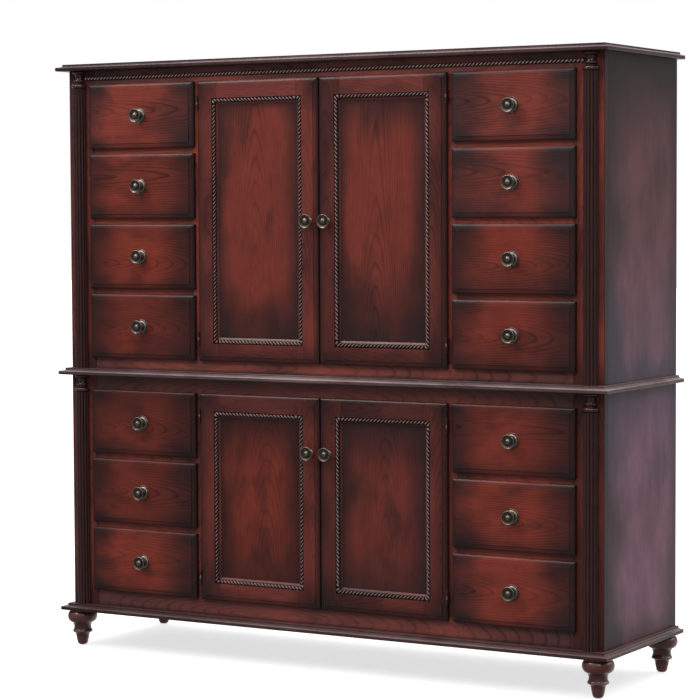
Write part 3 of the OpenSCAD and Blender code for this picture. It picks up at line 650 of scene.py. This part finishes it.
def make_hinges(door, bronze, bright):
    """The fine pieces of both hinges of a door. The leaves mirror with the side that the door hangs on. The
    middle knuckle's bright metal is a painted glint.
    """
    node = door + "_hinges"
    low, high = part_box(node)
    hand = 1 if "_right_" in door else -1
    outer = high.x if hand > 0 else low.x
    axis_x, axis_y = outer - hand * BARREL_R, low.y + BARREL_R
    leg_x = axis_x + hand * (BARREL_R - LEG_IN)
    leaf_y = FACE_Y - LEAF_GAP - LEAF_T
    for number, middle in ((1, low.z + KNUCKLE_L / 2), (2, high.z - KNUCKLE_L / 2)):
        tag = f"{door}_hinge_{number}"
        barrel(tag + "_knuckle", axis_x, axis_y, middle - KNUCKLE_L / 2, middle + KNUCKLE_L / 2, bright,
               BODY_OF[node], node)
        inner = low.x if hand > 0 else high.x
        back_y = high.y
        door_side = leaf_back(door)
        for part, a, b in (
                ("leg", (leg_x - hand * LEAF_T, axis_y), (leg_x, FACE_Y - LEAF_GAP)),
                ("lip", (door_side, leaf_y), (leg_x, FACE_Y - LEAF_GAP)),
                ("side", (door_side, leaf_y), (door_side + hand * LEAF_T, back_y)),
                ("back", (inner, back_y - LEAF_T), (door_side + hand * LEAF_T, back_y))):
            plate_between(f"{tag}_door_{part}", a, b, middle, KNUCKLE_L, bronze, BODY_OF[node], node)
        end_l = (HINGE_L - KNUCKLE_L) / 2 - KNUCKLE_GAP
        frame_side = frame_edge(door)
        for end, sign in (("low", -1), ("high", 1)):
            centre = middle + sign * (HINGE_L - end_l) / 2
            barrel(f"{tag}_{end}_knuckle", axis_x, axis_y, centre - end_l / 2, centre + end_l / 2, bronze,
                   "case", "frame_hinges")
            for part, a, b in (
                    ("leg", (leg_x - hand * LEAF_T, axis_y), (leg_x, FACE_Y - SEAM)),
                    ("face", (frame_side, FACE_Y - LEAF_T - SEAM), (leg_x, FACE_Y - SEAM)),
                    ("edge", (frame_side, FACE_Y - LEAF_T - SEAM),
                     (frame_side - hand * LEAF_T, FACE_Y + FRAME_T))):
                plate_between(f"{tag}_{end}_{part}", a, b, centre, end_l, bronze, "case", "frame_hinges")
            tip_z = middle + sign * (HINGE_L / 2 + BARREL_R * 0.9)
            tip = [(BARREL_R * math.sin(math.radians(a)), -BARREL_R * math.cos(math.radians(a)))
                   for a in range(0, 181, 9)]
            turned(f"{tag}_{end}_tip", tip, (axis_x, axis_y, tip_z), (0, 0, 1), 32, bronze,
                   "case", "frame_hinges")


def leaf_back(door):
    """Where the door's leaf runs back beside the door, across the width."""
    low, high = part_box(door + "_frame")
    return high.x - LEAF_SEAT + SEAM / 2 if "_right_" in door else low.x + LEAF_SEAT - SEAM / 2


def frame_edge(door):
    """The side of the divider on which the frame's leaf lies, across the width."""
    low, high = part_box(door + "_frame")
    return high.x - OVERLAP - SEAM / 2 if "_right_" in door else low.x + OVERLAP + SEAM / 2


def plate_between(name, a, b, middle, length, material, body, node):
    low = (min(a[0], b[0]), min(a[1], b[1]), middle - length / 2)
    high = (max(a[0], b[0]), max(a[1], b[1]), middle + length / 2)
    slab(name, low, high, 0.15 * MM, material, body, node)


# Stains of the woods. BURNT is the dark one of all fronts and mouldings. The darkest one is that of the
# sides and of the turned and carved pieces, where it is also the painted shade in their hollows.
BURNT = (0.024, 0.0095, 0.0100)
DARK_STAIN_AND_SHADE = (0.010, 0.005, 0.005)
DRAWER_STAIN = (0.27, 0.040, 0.023)
PANEL_STAIN = (0.23, 0.036, 0.022)
DOOR_FRAME_STAIN = (0.21, 0.041, 0.031)
FACE_FRAME_STAIN = (0.37, 0.066, 0.040)
# The mouldings' stains are also the colours of their painted highlights, and the waist's is a brighter,
# painted-lit copy.
MOULDING_STAIN_AND_HIGHLIGHT = (0.21, 0.12, 0.12)
WAIST_STAIN_AND_HIGHLIGHT = (0.40, 0.27, 0.27)
# The lower sides' purple tint is partly a painted reflection.
SIDE_STAIN_AND_REFLECTION = {"upper": (0.15, 0.052, 0.060), "lower": (0.195, 0.080, 0.120)}
INSIDE_DARK = (0.12, 0.040, 0.022)
INSIDE_STAIN = (0.20, 0.060, 0.028)
MAPLE_DARK = (0.40, 0.24, 0.11)
MAPLE = (0.56, 0.37, 0.19)

# A cool painted reflection added to the stains, a painted reflection over the sides, and a painted highlight
# on top of the mouldings
PAINTED_REFLECTION = (0.002, 0.010, 0.012)
SIDE_REFLECTION = {"upper": ((0.020, 0.026, 0.046), 1.25, 0.85), "lower": ((0.016, 0.020, 0.042), 0.45, 0.75)}
TOP_HIGHLIGHT = (0.060, 0.010, 0.008)

# How strongly the drawer fronts glow, and how much painted reflection lies over them, from the top row down
ROW_GLOW = {"upper_left": (1.188, 0.9936, 0.918, 0.648), "upper_right": (1.188, 0.8856, 0.9936, 0.756),
            "lower_left": (0.594, 0.648, 0.8856), "lower_right": (0.7344, 1.08, 1.026)}
ROW_REFLECTION = {"upper_left": (0.6, 0.1, 0.0, 0.0), "upper_right": (1.0, 0.8, 0.3, 0.2),
            "lower_left": (0.0, 0.0, 0.2), "lower_right": (0.2, 0.3, 0.4)}
# The doors' panels: glow, painted reflection, and burnish from the bottom and the top
PANEL_LOOK = {"upper_left": (1.2, 0.4, (230, 0.12), (80, 0.55)),
              "upper_right": (1.1, 0.4, (230, 0.12), (130, 0.3)),
              "lower_left": (0.9, 0.0, (130, 0.45), (150, 0.2)),
              "lower_right": (0.64, 0.4, (130, 0.45), (150, 0.25))}
# The doors' frames: glow of the left stile, the right stile, the top rail and the bottom rail
FRAME_GLOW = {"upper_left": (0.6, 1.0, 1.6, 0.8), "upper_right": (0.52, 0.76, 1.05, 0.75),
              "lower_left": (0.65, 0.75, 0.48, 1.05), "lower_right": (0.5, 0.72, 0.38, 0.65)}
# The face frames: glow of the rails between the drawers from the top down, raised as painted light for rails
# that sit in shade between the drawers' lips, of the outer and the inner stiles, and of the long rails
BAND_PAINTED_LIGHT = {"upper_left": (1.5, 1.5, 0.8), "upper_right": (1.6, 1.8, 0.72),
             "lower_left": (0.84, 0.84), "lower_right": (0.88, 0.7)}
STILE_GLOW = {"upper_left": (0.34, 1.2), "upper_right": (0.6, 0.75),
              "lower_left": (0.4, 0.65), "lower_right": (0.3, 0.5)}
LONG_RAIL_GLOW = {"upper": 0.75, "lower": 0.6}

# Burnish of a front from its left, right, bottom and top edge. Each has a reach in mm and the least
# brightness, here and in the tables below.
DRAWER_FIELD = ((130, 0.24), (160, 0.18), (50, 0.55), (20, 0.85))
DRAWER_LIP = ((15, 0.2), (15, 0.12), (4, 0.5), (4, 0.8))
PANEL_SIDES = ((60, 0.3), (80, 0.2))
# The panels darken along the rope as painted shade.
PANEL_RIM_SHADE = ((24, 0.5), (24, 0.4), (20, 0.5), (24, 0.4))
DOOR_FIELD = {"left": ((40, 0.5), (20, 0.75), (60, 0.4), (16, 0.9)),
              "right": ((40, 0.5), (50, 0.4), (60, 0.4), (16, 0.9))}
DOOR_LIP = ((14, 0.3), (14, 0.2), (6, 0.4), (4, 0.8))
# How far the dark corners reach in mm, across and up
DRAWER_CORNER = (110, 60)
DOOR_CORNER = (90, 110)
# Burnish of the cases' sides from the front and the back, and from the bottom and the top
SIDE_DEPTH = ((160, 0.2), (80, 0.4))
SIDE_HEIGHT = {"upper": ((80, 0.4), (300, 0.1)), "lower": ((80, 0.4), (200, 0.5))}
# Burnish of the face frames: the stiles from the bottom and the top, the outer ones from their outer
# face too; the long rails are darker towards their two edges
INNER_STILE = ((120, 0.3), (120, 0.3))
OUTER_STILE = ((120, 0.3), (120, 0.7))
OUTER_FACE = (3, 0.1)
LONG_RAIL_EDGES = ((10, 0.2), (30, 0.6))
# A rail's ends are burnished over a share of its length, but not further than a most in mm
RAIL_END_SHARE = 0.3
RAIL_END_MOST = 300
RAIL_END_LEAST = 0.5
# Mouldings darken towards their ends, leaving a painted highlight in the middle. Each pair of heights in mm
# goes from painted shade to a painted highlight on the nose: up the nose, and down from the cove.
MOULDING_HIGHLIGHT_ENDS = ((600, 0.4), (300, 0.6))
NOSE_HIGHLIGHT = (7.5, 9.5)
COVE_SHADE = (12.5, 11)
PAINTED_SHADE_LEAST = 0.3

# Gloss, coat and specular level of the face frames, and of their outer stiles
FRONT_FINISH = (0.36, 0.1, 0.3)
OUTER_FINISH = (0.42, 0.0, 0.2)
# Painted reflection over the face frames, and over their long rails, which are longer than a metre
FRAME_REFLECTION = 0.6
LONG_RAIL_REFLECTION = 2.0
LONG_RAIL = 1.0
# A face this near to the end of its node's box lies at that end
NEAR = 1 * MM


def with_painted_reflection(colour, amount):
    """A stain with a cool painted reflection added to it."""
    return tuple(part + amount * more for part, more in zip(colour, PAINTED_REFLECTION))


def ends_of(axis, low, high, first, last):
    """Burnish inwards from the two ends of a box along one axis."""
    start, end = getattr(low, axis), getattr(high, axis)
    return (axis, start, start + first[0] * MM, first[1]), (axis, end, end - last[0] * MM, last[1])


def edges_of(low, high, left, right, bottom, top):
    """Burnish inwards from the four edges of a front."""
    return ends_of("x", low, high, left, right) + ends_of("z", low, high, bottom, top)


def corners_of(low, high, across, up):
    """Burnish that darkens the four corners of a front."""
    return (("x", low.x, low.x + across * MM), ("x", high.x, high.x - across * MM),
            ("z", low.z, low.z + up * MM), ("z", high.z, high.z - up * MM))


def long_axis(low, high):
    size = high - low
    return "xyz"[max(range(3), key=lambda i: size[i])]


def dress_drawers():
    """Each front gets its row's finish, and the box behind it plain maple."""
    maple = wood("maple_box_wood", "y", MAPLE_DARK, MAPLE, marks=0.12, gloss=0.5, coat=0.1)
    for number, node in enumerate(DRAWERS):
        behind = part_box(node)[0].y + RABBET_D
        bank, row = node.split("_drawer_")[0], int(node.split("_")[-1]) - 1
        reflection = ROW_REFLECTION[bank][row]

        def choose(low, high):
            if low.y > behind:
                return maple
            edge_fades = edges_of(low, high, *DRAWER_FIELD) + edges_of(low, high, *DRAWER_LIP)
            return wood(node + "_front_wood", "x", with_painted_reflection(BURNT, reflection), with_painted_reflection(DRAWER_STAIN, reflection),
                        box_centre(low, high), edge_fades, corners_of(low, high, *DRAWER_CORNER),
                        seed=number + 1, marks=0.6, glow=ROW_GLOW[bank][row])
        dress(node, choose)


def dress_panel(door, seed):
    """The flat panel of one door, with painted shade along the rope."""
    low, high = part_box(door + "_panel")
    glow, reflection, bottom, top = PANEL_LOOK[door.removesuffix("_door")]
    edge_fades = edges_of(low, high, *PANEL_SIDES, bottom, top) + edges_of(low, high, *PANEL_RIM_SHADE)
    panel = wood(door + "_panel_wood", "z", with_painted_reflection(BURNT, reflection), with_painted_reflection(PANEL_STAIN, reflection),
                 box_centre(low, high), edge_fades, seed=seed, glow=glow)
    dress(door + "_panel", lambda *ends: panel)


def dress_door_frame(door, number):
    """Stiles and rails of one door. Each is burnished as a part of the whole frame."""
    low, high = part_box(door + "_frame")
    glows = FRAME_GLOW[door.removesuffix("_door")]
    stile_glows, rail_glows = glows[:2], glows[2:]
    field = DOOR_FIELD["left" if "_left_" in door else "right"]

    def choose(a, b):
        along = long_axis(a, b)
        at_left = a.x + b.x < low.x + high.x
        at_bottom = a.z + b.z < low.z + high.z
        name = door + ("_stile" if along == "z" else "_rail")
        name += "_low" if at_bottom else "_high"
        name += "_left" if at_left else "_right"
        on_top = along == "x" and a.z + b.z > low.z + high.z
        if along == "z":
            glow = stile_glows[0 if at_left else 1]
        else:
            glow = rail_glows[0 if on_top else 1]
        edge_fades = edges_of(low, high, *field) + edges_of(low, high, *DOOR_LIP)
        # The top rail gets a painted reflection over its stain.
        return wood(name, along, BURNT, with_painted_reflection(DOOR_FRAME_STAIN, 0.5 if on_top else 0.0), box_centre(a, b),
                    edge_fades, corners_of(low, high, *DOOR_CORNER),
                    seed=number * 5 + int(a.x * 100) % 7, glow=glow)
    dress(door + "_frame", choose)


def dress_doors():
    for number, door in enumerate(DOORS):
        dress_panel(door, number + 21)
        dress_door_frame(door, number)


def dress_carcase(tier, inside):
    """The sides get the finish of the show faces, and everything between them the inside's."""
    low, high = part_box(tier + "_carcase")
    edge_fades = ends_of("y", low, high, *SIDE_DEPTH) + ends_of("z", low, high, *SIDE_HEIGHT[tier])
    sides = {}
    for side, x, seed in (("left", low.x, 9), ("right", high.x, 10)):
        # Each side carries a painted reflection that grows between two heights.
        sides[side] = wood(f"{tier}_{side}_side_wood", "z", DARK_STAIN_AND_SHADE, SIDE_STAIN_AND_REFLECTION[tier],
                           (x, 0, box_centre(low, high).z), edge_fades, seed=seed, marks=0.3, gloss=0.42,
                           coat=0.0, glow=0.94, specular=0.22, painted_sheen=SIDE_REFLECTION[tier], smear=0.2)

    def choose(a, b):
        if a.x < low.x + NEAR and b.x < 0:
            return sides["left"]
        if b.x > high.x - NEAR and a.x > 0:
            return sides["right"]
        return inside
    dress(tier + "_carcase", choose)


def dress_face_frame(tier):
    """Stiles and rails of one case's face frame, each with its own board's figure and glow."""
    frame_low, frame_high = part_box(tier + "_face_frame")

    def stile(low, high, bank):
        if max(abs(low.x), abs(high.x)) < frame_high.x - NEAR:
            edge_fades = ends_of("z", frame_low, frame_high, *INNER_STILE)
            return STILE_GLOW[bank][1], edge_fades, FRAME_REFLECTION, FRONT_FINISH
        outer = low.x if low.x + high.x < 0 else high.x
        reach, least = OUTER_FACE
        edge_fades = ends_of("z", frame_low, frame_high, *OUTER_STILE)
        edge_fades += (("x", outer, outer - math.copysign(reach * MM, outer), least),)
        return STILE_GLOW[bank][0], edge_fades, FRAME_REFLECTION, OUTER_FINISH

    def rail(low, high, bank):
        length = high.x - low.x
        end = (min(length / MM * RAIL_END_SHARE, RAIL_END_MOST), RAIL_END_LEAST)
        edge_fades = ends_of("x", low, high, end, end)
        if length < LONG_RAIL:
            # The fronts above a rail begin near its middle, because they lap over it
            start = box_centre(low, high).z - 2 * OVERLAP
            above = sum(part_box(n)[0].z > start for n in DRAWERS if n.startswith(bank))
            return BAND_PAINTED_LIGHT[bank][above - 1], edge_fades, FRAME_REFLECTION, FRONT_FINISH
        edge_fades += ends_of("z", frame_low, frame_high, *LONG_RAIL_EDGES)
        return LONG_RAIL_GLOW[tier], edge_fades, LONG_RAIL_REFLECTION, FRONT_FINISH

    def member(low, high):
        along = long_axis(low, high)
        middle = box_centre(low, high)
        key = f"{tier}_{along}_{round(middle.x * 100)}_{round(middle.z * 100)}".replace("-", "m")
        bank = f"{tier}_{'left' if middle.x < 0 else 'right'}"
        glow, edge_fades, reflection, finish = (stile if along == "z" else rail)(low, high, bank)
        gloss, coat, specular = finish
        return wood(key + "_frame_wood", along, with_painted_reflection(BURNT, reflection), with_painted_reflection(FACE_FRAME_STAIN, reflection), middle,
                    edge_fades, seed=round(middle.z * 7 + middle.x * 3), gloss=gloss, coat=coat, glow=glow,
                    specular=specular)
    dress(tier + "_face_frame", member)


def dress_moulding(node, stain, seed):
    """A board with a moulded edge. A painted highlight lies along the nose's upper corner, with painted
    shade on the cove above and on the nose's face below, and the board darkens towards its ends.
    """
    low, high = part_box(node)
    # Painted highlight on the nose, painted shade above and below it, and darker towards both ends.
    edge_fades = [("z", low.z + dark * MM, low.z + bright * MM, PAINTED_SHADE_LEAST) for dark, bright in (NOSE_HIGHLIGHT, COVE_SHADE)]
    edge_fades += ends_of("x", low, high, *MOULDING_HIGHLIGHT_ENDS)
    # A painted highlight along the board's top.
    painted_sheen = (TOP_HIGHLIGHT, high.z - 0.8 * MM, high.z - 0.1 * MM)
    board = wood(node + "_wood", "x", BURNT, stain, box_centre(low, high), edge_fades, seed=seed, marks=0.2,
                 gloss=0.34, coat=0.05, specular=0.22, painted_sheen=painted_sheen)
    dress(node, lambda *ends: board)


def dress_case():
    """The cases' own boards: sides, inside, face frames, mouldings and shelves."""
    inside = wood("inside_wood", "x", INSIDE_DARK, INSIDE_STAIN, glow=0.8, marks=0.2, gloss=0.5, coat=0.1)
    pin = metal("shelf_pin_metal", (0.2, 0.19, 0.18), (0.5, 0.49, 0.47), gloss=0.35)
    for tier in TIERS:
        dress_carcase(tier, inside)
        dress_face_frame(tier)
    dress_moulding("base_moulding", MOULDING_STAIN_AND_HIGHLIGHT, 31)
    dress_moulding("waist_moulding", WAIST_STAIN_AND_HIGHLIGHT, 32)
    dress_moulding("top_board", MOULDING_STAIN_AND_HIGHLIGHT, 33)
    # A shelf is wider than 100 mm, and a pin is not
    dress("shelves", lambda low, high: inside if high.x - low.x > 100 * MM else pin, 0.3 * MM)


# The photograph's view: turns in degrees, the place from the middle of the face frame's plane, and the
# focal length in pixels of a picture 700 pixels wide
CAMERA_TURNS = (30.367, -3.242, -0.261)
CAMERA_PLACE = (3.4075, -5.6649, 1.2398)
FOCAL_PX = 2467.8
PICTURE_PX = 700
SENSOR_MM = 36


def make_camera():
    """The photograph's own camera."""
    yaw, pitch, roll = (math.radians(a) for a in CAMERA_TURNS)
    forward = Vector((-math.sin(yaw) * math.cos(pitch), math.cos(yaw) * math.cos(pitch), math.sin(pitch)))
    level = Vector((math.cos(yaw), math.sin(yaw), 0))
    upright = level.cross(forward)
    right = math.cos(roll) * level + math.sin(roll) * upright
    up = math.cos(roll) * upright - math.sin(roll) * level
    data = bpy.data.cameras.new("photo_camera")
    data.sensor_fit = "HORIZONTAL"
    data.sensor_width = SENSOR_MM
    data.lens = FOCAL_PX * SENSOR_MM / PICTURE_PX
    camera = bpy.data.objects.new("photo_camera", data)
    x, y, z = CAMERA_PLACE
    place = Vector((x, FACE_Y + y, z))
    turn = Matrix((right, up, -forward)).transposed().to_4x4()
    camera.matrix_world = Matrix.Translation(place) @ turn
    bpy.context.scene.collection.objects.link(camera)
    bpy.context.scene.camera = camera


def area_light(name, place, target, width, height, power):
    data = bpy.data.lights.new(name, "AREA")
    data.shape = "RECTANGLE"
    data.size, data.size_y = width, height
    data.energy = power
    light = bpy.data.objects.new(name, data)
    light.location = place
    light.rotation_euler = (Vector(target) - Vector(place)).to_track_quat("-Z", "Y").to_euler()
    bpy.context.scene.collection.objects.link(light)


def make_world():
    """Plain white to the camera. For everything else a soft light that goes by the y and z of its
    direction: strongest overhead and high behind, with a bounce from low behind and a little from the
    front."""
    world = bpy.data.worlds.new("studio")
    bpy.context.scene.world = world
    g = Graph(world)
    y, z = g.node("SeparateXYZ", {0: g.node("TexCoord").outputs["Generated"]}).outputs[1:]
    overhead = g.ramp(z, 0.25, 1.0, 0.17, 1.5)
    bounce = g.math("MULTIPLY_ADD", g.ramp(z, 0.1, -0.15), 0.4, 0.2)
    level = g.math("MULTIPLY_ADD", g.ramp(y, 0.0, 0.8), bounce, overhead)
    backdrop = g.math("MULTIPLY", g.ramp(y, -0.1, 0.5), g.ramp(z, 0.3, 0.6))
    level = g.math("MULTIPLY_ADD", backdrop, 2.0, level)
    level = g.math("ADD", level, g.ramp(y, 0.1, -0.4, 0.0, 0.06))
    seen = g.node("LightPath").outputs["Is Camera Ray"]
    strength = g.math("ADD", g.math("MULTIPLY", seen, 1.0),
                      g.math("MULTIPLY", g.math("SUBTRACT", 1.0, seen), level))
    glow = g.node("Background", {"Color": (1, 1, 1, 1), "Strength": strength})
    out = g.node("OutputWorld")
    g.tree.links.new(glow.outputs[0], out.inputs["Surface"])


def make_lights():
    """Three softboxes, and colours shown as they are."""
    area_light("overhead_softbox", (-0.8, -1.2, 4.2), (0, 0, 0.8), 3.2, 0.8, 32)
    area_light("left_softbox", (-2.6, -3.2, 4.2), (0, 0, 0.9), 1.2, 1.2, 54)
    area_light("right_softbox", (2.8, -3.6, 3.6), (0, 0, 0.9), 1.0, 1.0, 25)
    bpy.context.scene.view_settings.view_transform = "Standard"


def make_floor():
    """A pale floor that takes the shadow and sends no light back onto the piece."""
    mesh = bpy.data.meshes.new("floor")
    reach = 30
    mesh.from_pydata([(-reach, -reach, 0), (reach, -reach, 0), (reach, reach, 0), (-reach, reach, 0)], [],
                     [(0, 1, 2, 3)])
    floor = bpy.data.objects.new("floor", mesh)
    floor.visible_diffuse = False
    floor.visible_glossy = False
    material, g = new_material("pale_floor", (0.9, 0.9, 0.9))
    cloud = g.noise(g.place(), 1.5, 2.0)
    shade = g.ramp(cloud, 0.2, 0.8, 0.46, 0.48)
    colour = g.node("CombineColor", {0: shade, 1: shade, 2: shade}).outputs[0]
    g.surface(Base_Color=colour, Roughness=0.9, Specular_IOR_Level=0.1, Emission_Color=(1, 1, 1, 1),
              Emission_Strength=0.7)
    mesh.materials.append(material)
    bpy.context.scene.collection.objects.link(floor)


def make_pieces():
    """All fine pieces that stand for solids, with their own materials."""
    # The turned and carved woods paint highlights on ridges and shade in hollows, by their crest attribute.
    dark_turned = carved_wood("turned_cherry", DARK_STAIN_AND_SHADE, (0.26, 0.075, 0.066), "crest", coat=0.5)
    reeded = carved_wood("reeded_cherry", DARK_STAIN_AND_SHADE, (0.065, 0.018, 0.017), "crest", coat=0.15)
    polished = carved_wood("capital_cherry", DARK_STAIN_AND_SHADE, (0.095, 0.022, 0.022), "crest", 0.24, 0.6)
    # The rope's crests carry a painted highlight on each strand.
    highlighted_rope_wood = carved_wood("rope_cherry", DARK_STAIN_AND_SHADE, (0.46, 0.29, 0.26), "crest", 0.26, 0.3)
    # A much brighter copy of the rope's wood paints light onto the frieze rope, which sits in shade under
    # the top board.
    lit_frieze_rope_wood = carved_wood("frieze_rope_cherry", (0.02, 0.009, 0.009), (0.98, 0.64, 0.56), "crest",
                              0.26, 0.4)
    pewter = metal("antique_pewter", (0.040, 0.031, 0.026), (0.31, 0.26, 0.22), "crest", 0.33)
    bronze = metal("dark_bronze", (0.03, 0.012, 0.009), (0.10, 0.036, 0.026), "crest", 0.45, 0.6)
    # Bright brass on the middle knuckles, painted to stand in for a glint on each hinge.
    bright = metal("worn_brass", (0.10, 0.08, 0.06), (0.45, 0.38, 0.28), "crest", 0.25)
    make_feet(dark_turned)
    low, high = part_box("half_columns")
    levels = (("lower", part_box("base_moulding")[1].z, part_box("waist_moulding")[0].z),
              ("upper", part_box("waist_moulding")[1].z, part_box("top_board")[0].z))
    for tier, bottom, top in levels:
        make_column(tier, "left", low.x + BEAD_R, bottom, top, reeded, polished)
        make_column(tier, "right", high.x - BEAD_R, bottom, top, reeded, polished)
    make_frieze_rope(lit_frieze_rope_wood)
    for door in DOORS:
        make_door_rope(door, highlighted_rope_wood)
        make_knob(door, pewter)
        make_hinges(door, bronze, bright)
    for drawer in DRAWERS:
        make_knob(drawer, pewter)


make_camera()
make_world()
make_lights()
make_floor()
make_pieces()
dress_case()
dress_doors()
dress_drawers()
